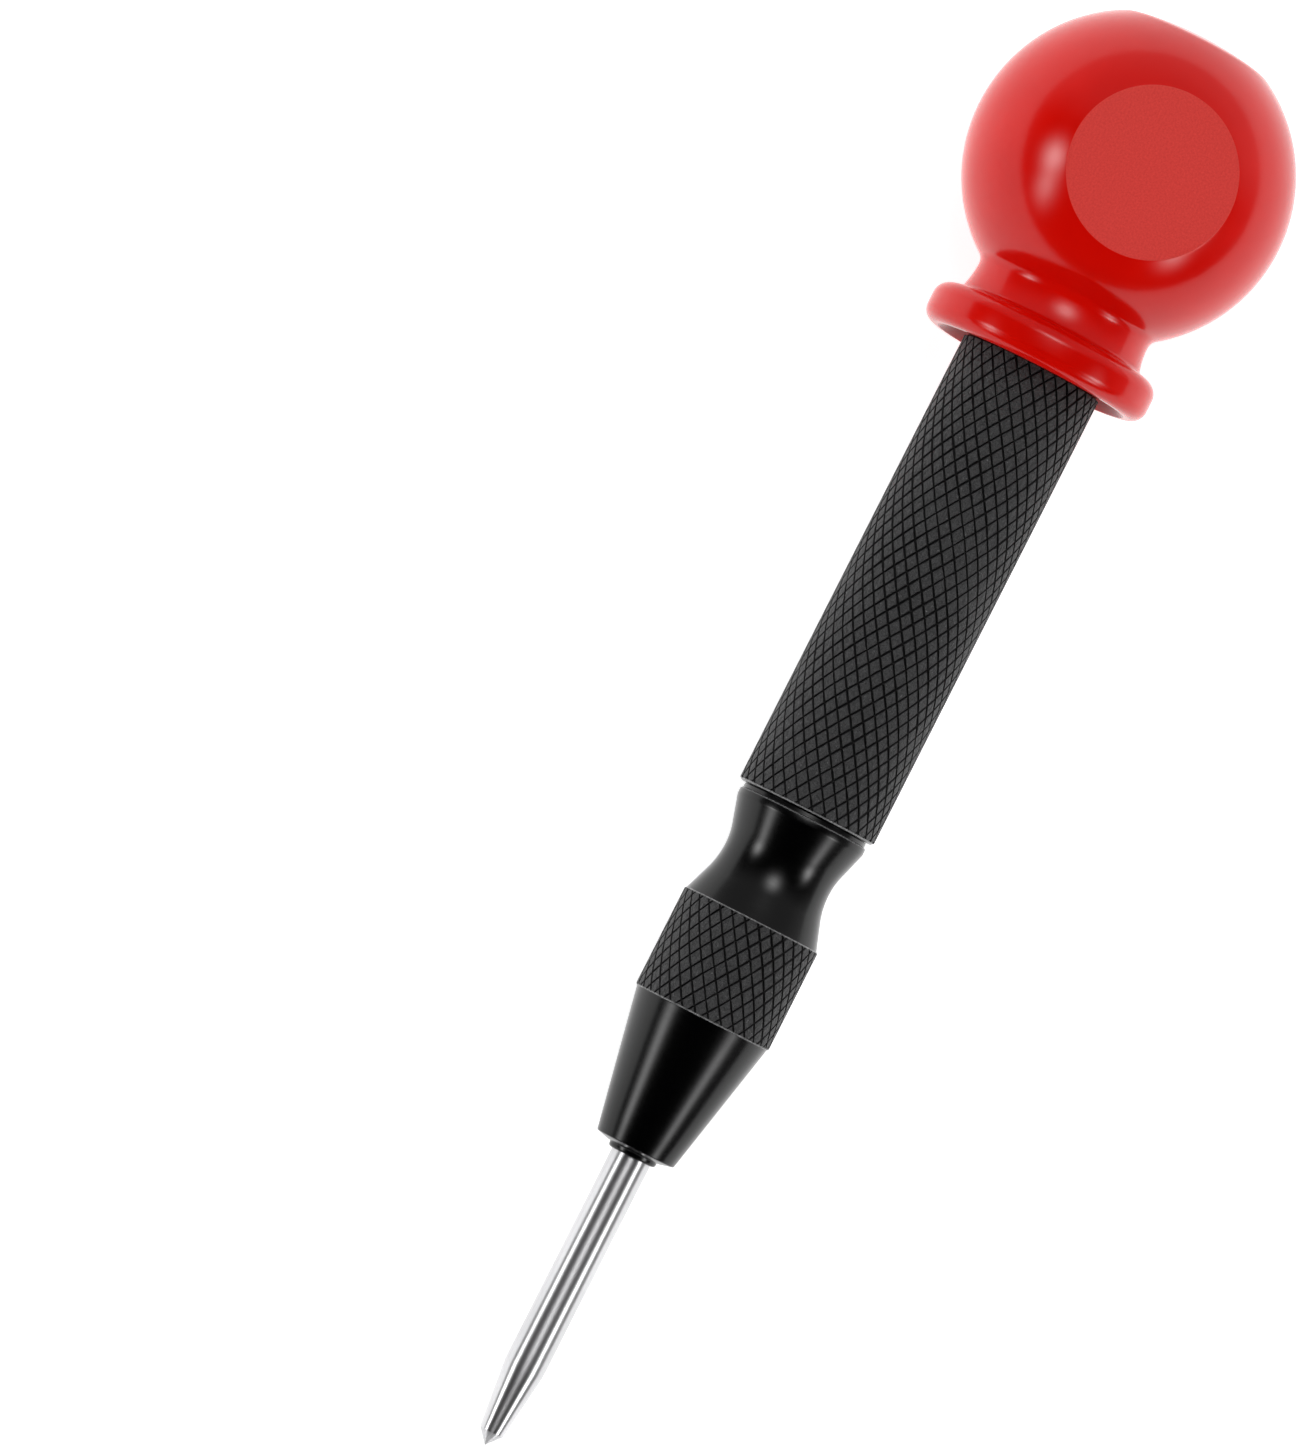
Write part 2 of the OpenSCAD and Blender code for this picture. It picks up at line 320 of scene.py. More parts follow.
KNOB_S, FLANGE_TOP_S, FLANGE_R, NECK_R = 112.4, 116.45, 11.45, 8.85
BALL_S, BALL_R, BALL_TOP, BALL_FLAT, MOUTH_R = 132.75, 15.65, 14.55, 13.4, 9.45
KNURL_LINES, KNURL_ANGLE, KNURL_DEPTH, KNURL_SLOPE = 32, 34.0, 0.15, 1.2
THREAD_GAP = 0.05


# ------------------------------------------------------------------ materials
def add_node(tree, kind, inputs, **settings):
    """A node in the tree with the given settings, and constants or links on its inputs."""
    made = tree.nodes.new(kind)
    for key, value in settings.items():
        setattr(made, key, value)
    for key, value in inputs.items():
        if isinstance(value, bpy.types.NodeSocket):
            tree.links.new(value, made.inputs[key])
        else:
            made.inputs[key].default_value = value
    return made


class Finish:
    """A principled material built node by node, with the tool's own coordinates."""

    def __init__(self, name, roughness, metallic=0.0, specular=0.5, color=None):
        self.material = bpy.data.materials.new(name)
        self.material.use_nodes = True
        self.tree = self.material.node_tree
        self.bsdf = self.tree.nodes["Principled BSDF"]
        self.set("Roughness", roughness)
        self.set("Metallic", metallic)
        self.set("Specular IOR Level", specular)
        if color is not None:
            self.set("Base Color", color)
        self.x, self.y, self.s, self.place = self.tool_coordinates()

    def set(self, socket, value):
        """A constant, or what a node gives, on one of the shader's own sockets."""
        if isinstance(value, bpy.types.NodeSocket):
            self.tree.links.new(value, self.bsdf.inputs[socket])
        elif isinstance(value, tuple):
            self.bsdf.inputs[socket].default_value = (*value, 1.0)
        else:
            self.bsdf.inputs[socket].default_value = value

    def add(self, kind, inputs, **settings):
        return add_node(self.tree, kind, inputs, **settings)

    def math(self, operation, *values):
        return self.add("ShaderNodeMath", dict(enumerate(values)), operation=operation).outputs[0]

    def tool_coordinates(self):
        """x, y, s in millimetres in the upright frame, and all three as a vector."""
        back = LAY.inverted()
        coords = self.add("ShaderNodeTexCoord", {})
        mapping = self.add("ShaderNodeMapping", {
            "Vector": coords.outputs["Object"],
            "Location": back.translation / MM,
            "Rotation": back.to_euler("XYZ"),
            "Scale": (1 / MM, 1 / MM, 1 / MM)})
        apart = self.add("ShaderNodeSeparateXYZ", {"Vector": mapping.outputs[0]})
        return (*apart.outputs, mapping.outputs[0])

    def noise(self, scale, stretch=(1, 1, 1), detail=3.0, roughness=0.55, distortion=0.0):
        """Noise over the tool's coordinates, scale in features a millimetre."""
        stretched = self.add("ShaderNodeVectorMath", {0: self.place, 1: stretch},
                             operation="MULTIPLY").outputs[0]
        made = self.add("ShaderNodeTexNoise", {
            "Vector": stretched, "Scale": scale, "Detail": detail,
            "Roughness": roughness, "Distortion": distortion})
        return made.outputs[0]

    def spread(self, value, low, high, to_low=0.0, to_high=1.0, smooth=False):
        """value mapped from low..high to to_low..to_high, clamped."""
        made = self.add("ShaderNodeMapRange", {
            "Value": value, "From Min": low, "From Max": high,
            "To Min": to_low, "To Max": to_high})
        made.interpolation_type = "SMOOTHSTEP" if smooth else "LINEAR"
        return made.outputs[0]

    def blend(self, factor, a, b):
        """Colour a where factor is 0, b where it is 1."""
        made = self.add("ShaderNodeMix", {"Factor": factor}, data_type="RGBA")
        for socket, value in ((made.inputs[6], a), (made.inputs[7], b)):
            if isinstance(value, bpy.types.NodeSocket):
                self.tree.links.new(value, socket)
            else:
                socket.default_value = (*value, 1.0)
        return made.outputs[2]

    def bump(self, height, distance, strength=1.0):
        """Fine relief, distance in millimetres."""
        previous = self.bsdf.inputs["Normal"].links
        inputs = {"Height": height, "Distance": distance * MM, "Strength": strength}
        if previous:
            inputs["Normal"] = previous[0].from_socket
        self.set("Normal", self.add("ShaderNodeBump", inputs).outputs[0])


def black_steel(name, radius, knurl_from, knurl_to, worn):
    """Black oxide on steel: mottled half-matt tops on the knurl, speckled with painted glints,
    painted shade darkening its grooves, nearly black with fine turned marks elsewhere,
    and worn bright at the worn stations."""
    finish = Finish(name, 0.5, specular=0.32)
    along_x = finish.math("POWER", finish.x, 2.0)
    along_y = finish.math("POWER", finish.y, 2.0)
    distance = finish.math("SQRT", finish.math("ADD", along_x, along_y))
    edge, groove_below, top_above = 0.1, 0.07, 0.01
    inside = finish.math(
        "MULTIPLY",
        finish.spread(finish.s, knurl_from - edge / 2, knurl_from + edge / 2),
        finish.spread(finish.s, knurl_to - edge / 2, knurl_to + edge / 2, 1.0, 0.0))
    top = finish.math("MULTIPLY", inside,
                      finish.spread(distance, radius - groove_below, radius - top_above))
    mottle = finish.noise(2.2, detail=4.0, roughness=0.65)
    grain = finish.noise(9.0, detail=2.0, roughness=0.6)
    speck = finish.noise(4.0, detail=5.0, roughness=0.8)
    shade = finish.math("ADD", finish.spread(mottle, 0.32, 0.68, 0.25, 0.9),
                        finish.spread(grain, 0.35, 0.65, -0.2, 0.25))
    knurled = finish.blend(shade, (0.014, 0.014, 0.015), (0.054, 0.054, 0.055))
    # The bright speckles on the knurl's tops are painted glints, standing in for light caught by
    # their uneven faces.
    glint_speckled = finish.blend(finish.spread(speck, 0.60, 0.72), knurled, (0.2, 0.2, 0.205))
    # The grooves get a darker colour than the tops: painted shade in the recesses.
    turned_or_shaded_groove = finish.blend(inside, (0.0003, 0.0003, 0.0004), (0.006, 0.006, 0.0063))
    color = finish.blend(top, turned_or_shaded_groove, glint_speckled)
    for station, half in worn:
        offset = finish.math("ABSOLUTE", finish.math("SUBTRACT", finish.s, station))
        ring = finish.spread(offset, half * 0.6, half, 1.0, 0.0)
        patchy = finish.math("MULTIPLY", ring, finish.spread(speck, 0.4, 0.6, 0.35, 1.0))
        color = finish.blend(patchy, color, (0.3, 0.3, 0.305))
    finish.set("Base Color", color)
    rough_top = finish.spread(mottle, 0.3, 0.7, 0.42, 0.6)
    rough_turned = finish.spread(finish.noise(1.4, (1, 1, 3)), 0.3, 0.7, 0.19, 0.23)
    roughness = finish.add("ShaderNodeMix", {"Factor": inside, "A": rough_turned, "B": rough_top})
    finish.set("Roughness", roughness.outputs[0])
    finish.bump(finish.noise(6.0, (0.05, 0.05, 1.6), detail=3.0), 0.004, 0.35)
    dents = finish.noise(2.6, detail=3.0, roughness=0.6)
    finish.bump(finish.math("MULTIPLY", top, dents), 0.25, 1.0)
    return finish.material


def bright_steel(name, color, roughness, ground=True, grit=0.25):
    """Bare steel with turned or drawn marks and slight tarnish."""
    finish = Finish(name, roughness, metallic=1.0)
    cloud = finish.noise(0.35, (1, 1, 0.4), detail=3.0)
    finish.set("Base Color", finish.blend(
        finish.spread(cloud, 0.35, 0.65), tuple(c * 0.88 for c in color), color))
    stretch = (0.06, 0.06, 2.2) if ground else (2.2, 2.2, 0.04)
    marks = finish.noise(5.0, stretch, detail=4.0, roughness=0.6)
    finish.set("Roughness", finish.spread(marks, 0.3, 0.7, roughness * 0.82, roughness * 1.2))
    finish.bump(marks, 0.006, grit)
    return finish.material


def point_steel():
    """Bright ground steel: long reflections on the shank, a duller cone at the tip."""
    finish = Finish("point_steel", 0.2, metallic=1.0)
    tip = finish.spread(finish.s, TIP_S - 0.04, TIP_S + 0.04, 1.0, 0.0)
    taper = finish.spread(finish.s, TAPER_S - 0.05, TAPER_S + 0.05, 1.0, 0.0)
    cloud = finish.noise(0.4, (1, 1, 0.25), detail=3.0)
    shank = finish.blend(finish.spread(cloud, 0.35, 0.65), (0.58, 0.58, 0.59),
                         (0.68, 0.68, 0.69))
    finish.set("Base Color", finish.blend(tip, shank, (0.62, 0.62, 0.63)))
    axis = finish.add("ShaderNodeCombineXYZ", {0: AXIS.x, 1: AXIS.y, 2: AXIS.z})
    finish.set("Tangent", axis.outputs[0])
    finish.set("Anisotropic", 0.9)
    rings = finish.noise(7.0, (0.08, 0.08, 1.6), detail=4.0, roughness=0.6)
    rough_shank = finish.add("ShaderNodeMix", {"Factor": taper, "A": 0.36, "B": 0.34}).outputs[0]
    roughness = finish.add("ShaderNodeMix", {"Factor": tip, "A": rough_shank, "B": 0.5})
    finish.set("Roughness", roughness.outputs[0])
    depth = finish.add("ShaderNodeMix", {"Factor": taper, "A": 0.25, "B": 1.0}).outputs[0]
    finish.bump(finish.math("MULTIPLY", rings, depth), 0.008, 0.4)
    return finish.material


def knob_plastic():
    """Glossy moulded plastic: slightly uneven skin, and a half-matt grain on the flats whose paler
    red is a painted sheen.
    """
    finish = Finish("knob_plastic", 0.12, specular=0.29)
    cloud = finish.noise(0.12, detail=2.0)
    skin = finish.blend(finish.spread(cloud, 0.35, 0.65), (0.71, 0.003, 0.0006),
                        (0.76, 0.004, 0.001))
    height = finish.math("ABSOLUTE", finish.x)
    flat = finish.spread(height, BALL_FLAT - 0.02, BALL_FLAT - 0.005)
    grain = finish.noise(5.0, detail=3.0, roughness=0.7)
    # The flats' paler red is painted sheen, standing in for light scattered by their grain.
    painted_sheen_grain = finish.blend(finish.spread(grain, 0.3, 0.7), (0.74, 0.032, 0.024),
                         (0.88, 0.056, 0.044))
    finish.set("Base Color", finish.blend(flat, skin, painted_sheen_grain))
    roughness = finish.add("ShaderNodeMix", {"Factor": flat, "A": 0.15, "B": 0.5})
    finish.set("Roughness", roughness.outputs[0])
    finish.bump(finish.noise(0.22, detail=1.0), 0.05, 0.25)
    finish.bump(finish.math("MULTIPLY", flat, grain), 0.012, 0.5)
    return finish.material


# ------------------------------------------------------------------ turned pieces
def make_nose(material):
    """Cone, knurled band, hollow waist and the thread that enters the barrel."""
    low_r, low_a, high_r, high_a, waist_top_s = 8.2, 19.3, 7.0, 17.0, 64.86
    bore_r, bore_end_s, chamber_r, chamber_s = 2.05, 48.0, 3.7, 49.65
    mouth_r, lip_r, lip_edge_s, seat_r, face_r = 2.3, 2.43, 30.3, 2.65, 4.0
    step, collar_r, collar_s = 0.15, SHOULDER_R - 0.2, SHOULDER_S + 0.24
    relief_r, relief_s, thread_s, chamfer = 5.0, 66.8, 67.25, 0.4
    waist = (arc(WAIST_R + low_r, WAIST_LOW_S, low_r, 180 + low_a, 180, 24)
             + arc(WAIST_R + high_r, WAIST_LOW_S, high_r, 180, 180 - high_a, 20)[1:])
    profile = [
        (bore_r, NOSE_S), (mouth_r, NOSE_S), (lip_r, lip_edge_s), (lip_r, LIP_S),
        (seat_r, LIP_S), (face_r, CONE_S), (BAND_R - step, CONE_END_S), (BAND_R, BAND_S),
        (BAND_R, WAIST_S - step), (BAND_R - step, WAIST_S), *waist,
        (SHOULDER_R, waist_top_s), (SHOULDER_R, SHOULDER_S - 0.3),
        (collar_r, SHOULDER_S - 0.2), (collar_r, collar_s), (relief_r, collar_s),
        (relief_r, relief_s), (NOSE_THREAD_R, thread_s),
        (NOSE_THREAD_R, NOSE_END_S - chamfer), (NOSE_THREAD_R - chamfer, NOSE_END_S),
        (chamber_r, NOSE_END_S), (chamber_r, chamber_s), (bore_r, bore_end_s)]
    body = lathe(split_long(soften(profile, 0.1), 2.5), 256)
    cutters = [
        knurl_cutter(BAND_R, BAND_S - 0.5, WAIST_S + 0.2, KNURL_LINES, KNURL_ANGLE,
                     KNURL_DEPTH, KNURL_SLOPE, 3),
        thread_cutter(NOSE_THREAD_R, 0.5, 67.1, NOSE_END_S + 0.2)]
    piece("nose_piece", *carved("nose", body, cutters), material, "nose", ["nose_cap"],
          "nose_steel")


def make_barrel(material):
    """Knurled tube with an inside thread, a web, the hammer's bore and the knob's thread."""
    inner_r = NOSE_THREAD_R + THREAD_GAP
    edge, neck_r, neck_edge_r, end_bevel = 0.25, 6.7, 6.45, 0.5
    relief_r, relief_s, thread_s = 5.55, 116.7, 117.15
    pin_hole_r, spring_room_r, spring_room_s = 2.5, 4.5, NOSE_END_S + 0.5
    profile = [
        (inner_r + edge, BARREL_S), (BARREL_R - edge, BARREL_S), (BARREL_R, BARREL_S + edge),
        (BARREL_R, GRIP_END_S), (neck_r, GRIP_END_S), (neck_r, BARREL_TOP_S - edge),
        (neck_edge_r, BARREL_TOP_S), (relief_r, BARREL_TOP_S), (relief_r, relief_s),
        (KNOB_THREAD_R, thread_s), (KNOB_THREAD_R, THREAD_TOP_S - end_bevel),
        (KNOB_THREAD_R - end_bevel, THREAD_TOP_S), (HAMMER_BORE_R, THREAD_TOP_S),
        (HAMMER_BORE_R, FLOOR_S), (pin_hole_r, FLOOR_S), (pin_hole_r, WEB_S),
        (spring_room_r, WEB_S - 2), (spring_room_r, spring_room_s),
        (inner_r, spring_room_s), (inner_r, BARREL_S + edge)]
    body = lathe(split_long(soften(profile, 0.05), 3.0), 256)
    cutters = [
        knurl_cutter(BARREL_R, BARREL_S - 0.5, GRIP_END_S + 0.3, KNURL_LINES, KNURL_ANGLE,
                     KNURL_DEPTH, KNURL_SLOPE, 7),
        thread_cutter(KNOB_THREAD_R, 0.55, 117.0, THREAD_TOP_S + 0.2),
        thread_cutter(inner_r, 0.4, 67.0, NOSE_END_S, inside=True)]
    piece("knurled_barrel", *carved("barrel", body, cutters), material, "barrel",
          ["barrel"], "barrel_steel")


def make_point(material):
    """The headed point: tip, taper, shank, and the head that rests inside the nose."""
    bevel, chamfer = HEAD_R - POINT_R, 0.4
    profile = [
        (0, 0), (TIP_R, TIP_S), (POINT_R, TAPER_S), (POINT_R, HEAD_S),
        (HEAD_R, HEAD_S + bevel), (HEAD_R, POINT_TOP_S - chamfer),
        (HEAD_R - chamfer, POINT_TOP_S), (0, POINT_TOP_S)]
    rounded = split_long(soften(profile, 0.09), 2.0)
    piece("steel_point", *lathe(rounded, 160), material, "point", ["punch_point"],
          "point_steel", smooth=20)


def make_release_pin(material):
    """The stepped pin on the point's head, which leans until the nose straightens it."""
    length, shoulder, stem_r, tip_r, collar_r = 35.05, 23.65, 2.2, 1.5, 3.1
    profile = [
        (0, 0), (collar_r - 0.3, 0), (collar_r, 0.3), (collar_r, 1.8), (collar_r - 0.2, 2),
        (stem_r, 2), (stem_r, shoulder - 0.15), (stem_r - 0.15, shoulder), (tip_r, shoulder),
        (tip_r, length - 0.2), (tip_r - 0.2, length), (0, length)]
    verts, faces = lathe(split_long(soften(profile, 0.08), 4.0), 96)
    tilt = Matrix.Rotation(math.radians(PIN_LEAN), 4, "Y")
    lean = Matrix.Translation((0, 0, PIN_FOOT_S)) @ tilt
    piece("release_pin_body", [lean @ Vector(v) for v in verts], faces, material, "pin",
          ["release_pin"], "pin_steel")


def make_hammer(material):
    """The striking weight, bored for the pin's tip, with a spigot inside the spring."""
    bore_r, bore_top_s, spigot_r, spigot_top_s = 1.65, 102.1, 2.6, 109.0
    profile = [
        (bore_r + 0.3, HAMMER_S), (HAMMER_R - 0.3, HAMMER_S), (HAMMER_R, HAMMER_S + 0.3),
        (HAMMER_R, HAMMER_TOP_S - 0.3), (HAMMER_R - 0.3, HAMMER_TOP_S),
        (spigot_r, HAMMER_TOP_S), (spigot_r, spigot_top_s - 0.4),
        (spigot_r - 0.4, spigot_top_s), (0, spigot_top_s), (0, bore_top_s + 0.95),
        (bore_r, bore_top_s), (bore_r, HAMMER_S + 0.3)]
    piece("hammer_body", *lathe(split_long(soften(profile, 0.08), 4.0), 128), material,
          "hammer", ["hammer"], "hammer_steel")


def make_washer(material):
    """The plain washer between the main spring and the cap."""
    top_s, outer_r, hole_r = CAP_INSIDE_S - 0.05, 4.6, 1.5
    profile = [(hole_r, WASHER_S), (outer_r - 0.2, WASHER_S), (outer_r, WASHER_S + 0.2),
               (outer_r, top_s), (hole_r, top_s)]
    piece("thrust_washer", *lathe(soften(profile, 0.1), 96), material, "spring_seat",
          ["spring_washer"], "washer_steel")


def make_cap(material):
    """The brass cup in the knob, threaded inside to screw onto the barrel."""
    thread_r = KNOB_THREAD_R + THREAD_GAP
    profile = [
        (thread_r + 0.3, CAP_S), (CAP_R - 0.3, CAP_S), (CAP_R, CAP_S + 0.3),
        (CAP_R, CAP_TOP_S), (0, CAP_TOP_S), (0, CAP_INSIDE_S), (thread_r, CAP_INSIDE_S),
        (thread_r, CAP_S + 0.3)]
    body = lathe(split_long(soften(profile, 0.08), 3.0), 160)
    groove = thread_cutter(thread_r, 0.4, CAP_S + 0.6, CAP_INSIDE_S - 0.8, inside=True)
    piece("brass_cap", *carved("cap", body, [groove]), material, "knob", ["tail_cap"],
          "cap_brass")


def flat_cutter(side):
    """Everything beyond one side flat of the ball, with the flat's rim rounded over."""
    rim, reach, past_ball, inset = 0.22, 6.0, 2, 0.06
    centre_r = math.sqrt((BALL_R - rim) ** 2 - (BALL_FLAT - rim) ** 2)
    turn = math.degrees(math.atan2(BALL_FLAT - rim, centre_r))
    rounding = arc(centre_r, BALL_FLAT - rim, rim, 90, turn, 8)
    end_r, end_h = rounding[-1]
    beyond = (end_r + reach * math.sin(math.radians(turn)),
              end_h - reach * math.cos(math.radians(turn)))
    profile = [(0, BALL_FLAT), (centre_r - inset, BALL_FLAT), *rounding, beyond,
               (beyond[0], BALL_R + past_ball), (0, BALL_R + past_ball)]
    verts, faces = lathe(profile, 384)
    return [(side * h, side * a, b + BALL_S) for a, b, h in verts], faces


def make_knob(material):
    """Ball with a flanged mouth, a slightly domed end and two side flats."""
    low_edge, top_edge, end_rim, ball_fillet = 1.4, 1.5, 3.0, 1.2
    neck_fillet, neck_hollow, mouth_edge = 0.7, 8.0, 0.25
    dome_r, dome_lift = 31.0, 0.13
    pocket_s, throat_r, throat_s, funnel_r, funnel_s = 117.2, 7.6, 116.3, 9.1, 113.1
    hollow_r = NECK_R + ball_fillet
    hollow_s = BALL_S - math.sqrt((BALL_R + ball_fillet) ** 2 - hollow_r ** 2)
    meet = math.degrees(math.atan2(BALL_S - hollow_s, -hollow_r))
    fillet_s = FLANGE_TOP_S + neck_fillet
    neck_a = math.degrees(math.asin((hollow_s - fillet_s) / (neck_hollow - neck_fillet)))
    fillet_r = NECK_R + neck_hollow - (neck_hollow - neck_fillet) * math.cos(math.radians(neck_a))
    dome_s = BALL_S + BALL_TOP + dome_lift - dome_r
    gap = BALL_S - dome_s
    rim_h = ((dome_r - end_rim) ** 2 - (BALL_R - end_rim) ** 2 + gap ** 2) / (2 * gap)
    rim_r = math.sqrt((dome_r - end_rim) ** 2 - rim_h ** 2)
    ball_a = math.degrees(math.atan2(rim_h - gap, rim_r))
    dome_a = math.degrees(math.atan2(rim_h, rim_r))
    flat_a = math.degrees(math.asin((BALL_S + BALL_TOP - dome_s) / dome_r))
    outside = [
        (MOUTH_R, KNOB_S + mouth_edge), (MOUTH_R + mouth_edge, KNOB_S),
        *arc(FLANGE_R - low_edge, KNOB_S + low_edge, low_edge, -90, 0, 14),
        *arc(FLANGE_R - top_edge, FLANGE_TOP_S - top_edge, top_edge, 0, 90, 14),
        *arc(fillet_r, fillet_s, neck_fillet, 270, 180 + neck_a, 10),
        *arc(NECK_R + neck_hollow, hollow_s, neck_hollow, 180 + neck_a, 180, 12)[1:],
        *arc(hollow_r, hollow_s, ball_fillet, 180, meet, 16)[1:],
        *arc(0, BALL_S, BALL_R, meet - 180, ball_a, 130)[1:],
        *arc(rim_r, dome_s + rim_h, end_rim, ball_a, dome_a, 10)[1:],
        *arc(0, dome_s, dome_r, dome_a, flat_a, 12)[1:], (0, BALL_S + BALL_TOP)]
    inside = [(0, CAP_TOP_S), (CAP_R, CAP_TOP_S), (CAP_R, pocket_s),
              (throat_r, throat_s), (funnel_r, funnel_s)]
    body = lathe(outside + inside, 384)
    piece("ball_knob", *carved("knob", body, [flat_cutter(1), flat_cutter(-1)]), material,
          "knob", ["knob"], "knob_plastic")


# ------------------------------------------------------------------ springs
def make_tower_spring(material):
    """The light spring round the pin, wider where it leaves the nose."""
    wire_r, foot_r, head_r, flare_s, flare = 0.25, 3.3, 4.1, NOSE_END_S + 0.4, 4
    low, high, turns = 55.25, WEB_S - 2.05, 14

    def radius_at(s):
        return foot_r + (head_r - foot_r) * min(1, max(0, (s - flare_s) / flare))

    line = coil_line(turns, low, high, 2 * wire_r * 1.1, radius_at)
    spring = piece("tower_spring_coil", *wire(line, wire_r), material, "tower",
                   ["tower_spring"], "light_spring", smooth=60)
    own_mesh(spring)


def make_main_spring(material):
    """The heavy spring between the hammer and the washer."""
    wire_r, coil_r, turns, clear = 0.65, 3.75, 10, 0.05
    low_s, high_s = HAMMER_TOP_S + clear, WASHER_S - clear
    line = coil_line(turns, low_s + wire_r, high_s - wire_r, 2 * wire_r * 1.06,
                     lambda s: coil_r)
    spring = piece("main_spring_coil", *wire(line, wire_r, 16), material, "barrel",
                   ["main_spring"], "spring_steel", smooth=60)
    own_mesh(spring)


# Stations of the bright rubbed edges, each with half its width
nose_worn = [(CONE_END_S + 0.1, 0.09), (WAIST_S - 0.05, 0.08), (SHOULDER_S - 0.27, 0.07)]
barrel_worn = [(BARREL_S + 0.13, 0.09)]
make_nose(black_steel("nose_black", BAND_R, CONE_END_S + 0.1, WAIST_S - 0.05, nose_worn))
make_barrel(black_steel("barrel_black", BARREL_R, BARREL_S + 0.2, GRIP_END_S, barrel_worn))
make_point(point_steel())
make_release_pin(bright_steel("pin_steel", (0.52, 0.52, 0.54), 0.3))
make_hammer(bright_steel("hammer_steel", (0.36, 0.36, 0.38), 0.34))
make_washer(bright_steel("washer_steel", (0.5, 0.5, 0.52), 0.3))
make_cap(bright_steel("cap_brass", (0.62, 0.4, 0.14), 0.28))
make_knob(knob_plastic())
make_tower_spring(bright_steel("light_wire", (0.45, 0.45, 0.47), 0.28, ground=False))
make_main_spring(bright_steel("spring_wire", (0.24, 0.24, 0.26), 0.35, ground=False))


# ------------------------------------------------------------------ camera
TILT = math.radians(6.6)      # how far the tool is turned about its own axis to the viewer
LEAN = math.radians(1.4)      # how far its tip is nearer than square on
ROLL = math.radians(26.95)    # how far it leans to the right in the picture
SENSOR, LENS = 36, 224.07     # millimetres
AIM_S, AIM_LEFT, DISTANCE = 66.9, 16.84, 840     # millimetres
view_up = UP * math.cos(TILT) + ACROSS * math.sin(TILT)
toward = (view_up * math.cos(LEAN) - AXIS * math.sin(LEAN)).normalized()
along = (AXIS - toward * AXIS.dot(toward)).normalized()
right = along.cross(toward)
camera_x = along * math.sin(ROLL) + right * math.cos(ROLL)
camera_y = along * math.cos(ROLL) - right * math.sin(ROLL)
camera = bpy.data.objects.new("camera", bpy.data.cameras.new("camera"))
camera.data.sensor_width = SENSOR
camera.data.lens = LENS
target = TIP + AXIS * AIM_S * MM - right * AIM_LEFT * MM
camera.matrix_world = Matrix((camera_x, camera_y, toward)).transposed().to_4x4()
camera.matrix_world.translation = target + toward * DISTANCE * MM
camera.data.clip_start = 0.05
bpy.context.scene.collection.objects.link(camera)
bpy.context.scene.camera = camera


# ------------------------------------------------------------------ floor and light
def make_floor():
    """A plain white sheet, glowing a little so that it shows as white as the photo's."""
    half = 3.0
    mesh = bpy.data.meshes.new("floor")
    mesh.from_pydata([(-half, -half, 0), (half, -half, 0), (half, half, 0), (-half, half, 0)],
                     [], [(0, 1, 2, 3)])
    floor = bpy.data.objects.new("floor", mesh)
    bpy.context.scene.collection.objects.link(floor)
    paper = Finish("floor_paper", 0.9, specular=0.0, color=(0.86, 0.86, 0.86))
    paper.set("Emission Color", (1.0, 1.0, 1.0))
    paper.set("Emission Strength", 0.8)
    mesh.materials.append(paper.material)


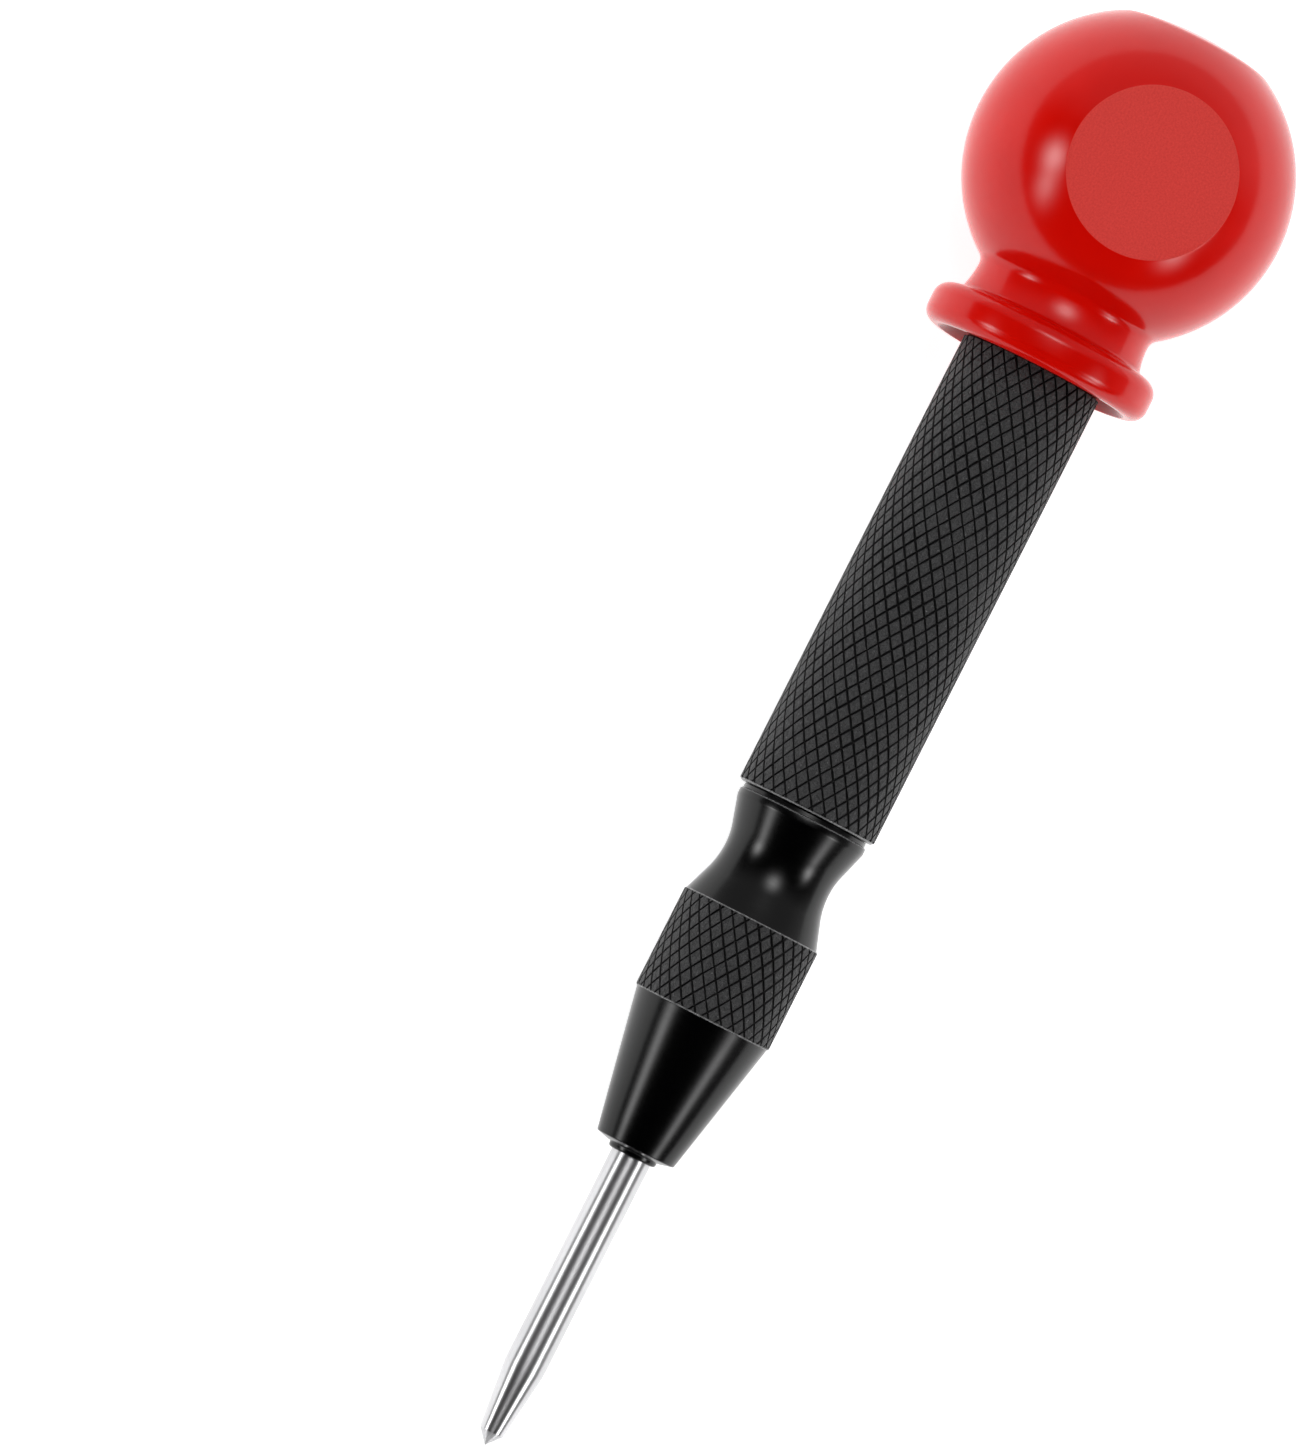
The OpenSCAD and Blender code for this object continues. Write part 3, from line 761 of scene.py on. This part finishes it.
def make_world():
    """Five soft lights over a dim sky that brightens past the knob and near the floor.
    The camera itself sees plain white behind the tool."""
    world = bpy.data.worlds.new("studio")
    bpy.context.scene.world = world
    world.use_nodes = True
    tree = world.node_tree
    tree.nodes.clear()

    def add(kind, inputs, **settings):
        return add_node(tree, kind, inputs, **settings)

    def dot(axis):
        made = add("ShaderNodeVectorMath", {0: sky, 1: axis}, operation="DOT_PRODUCT")
        return made.outputs["Value"]

    def math_of(operation, *values):
        return add("ShaderNodeMath", dict(enumerate(values)), operation=operation).outputs[0]

    def step(value, start, end):
        made = add("ShaderNodeMapRange", {"Value": value, "From Min": start, "From Max": end})
        made.interpolation_type = "SMOOTHSTEP"
        return made.outputs[0]

    def local_axes(direction, long_way):
        """A light's direction, and the two axes its spread is measured along."""
        centre = (right * direction[0] + along * direction[1] + toward * direction[2]).normalized()
        long_axis = right * long_way[0] + along * long_way[1] + toward * long_way[2]
        long_axis = (long_axis - centre * long_axis.dot(centre)).normalized()
        return centre, long_axis, centre.cross(long_axis)

    def glow(direction, long_way, long_spread, short_spread, radiance):
        """A light that fades out smoothly. Its direction and its long way are given as
        (right, along, toward) the camera."""
        centre, long_axis, short_axis = local_axes(direction, long_way)
        squares = [math_of("POWER", math_of("DIVIDE", dot(axis), spread), 2.0)
                   for axis, spread in ((long_axis, long_spread), (short_axis, short_spread))]
        fall = math_of("EXPONENT", math_of("MULTIPLY", math_of("ADD", *squares), -0.5))
        front = step(dot(centre), 0.3, 0.6)
        return math_of("MULTIPLY", math_of("MULTIPLY", fall, front), radiance)

    coords = add("ShaderNodeTexCoord", {})
    sky = coords.outputs["Generated"]
    far_sky, near_floor = 0.45, 0.2
    lights = [
        glow((-0.81, -0.20, 0.55), (0, 1, 0), 0.10, 0.09, 12.0),
        glow((-0.73, -0.49, 0.46), (0.1, 0.9, 0.3), 0.13, 0.08, 6.5),
        glow((0.85, -0.19, 0.49), (0, 1, 0), 0.11, 0.09, 12.0),
        glow((0.75, -0.53, 0.39), (0.4, 0.9, 0.2), 0.10, 0.08, 8.0),
        glow((0.07, 0.37, 0.925), (1, 0, 0), 0.14, 0.10, 8.5)]
    low_sky = math_of("MULTIPLY", step(dot(toward), 0.4, 0.0), step(dot(along), -0.55, 0.0))
    total = math_of("MULTIPLY", step(dot(along), 0.1, 0.6), far_sky)
    total = math_of("ADD", total, math_of("MULTIPLY", low_sky, near_floor))
    for light in lights:
        total = math_of("ADD", total, light)
    path = add("ShaderNodeLightPath", {})
    lit = add("ShaderNodeBackground", {"Color": (1, 1, 1, 1), "Strength": total})
    seen = add("ShaderNodeBackground", {"Color": (1, 1, 1, 1), "Strength": 1.0})
    mixed = add("ShaderNodeMixShader", {0: path.outputs["Is Camera Ray"],
                                        1: lit.outputs[0], 2: seen.outputs[0]})
    output = add("ShaderNodeOutputWorld", {})
    tree.links.new(mixed.outputs[0], output.inputs["Surface"])


make_floor()
make_world()
bpy.context.scene.view_settings.view_transform = "Standard"
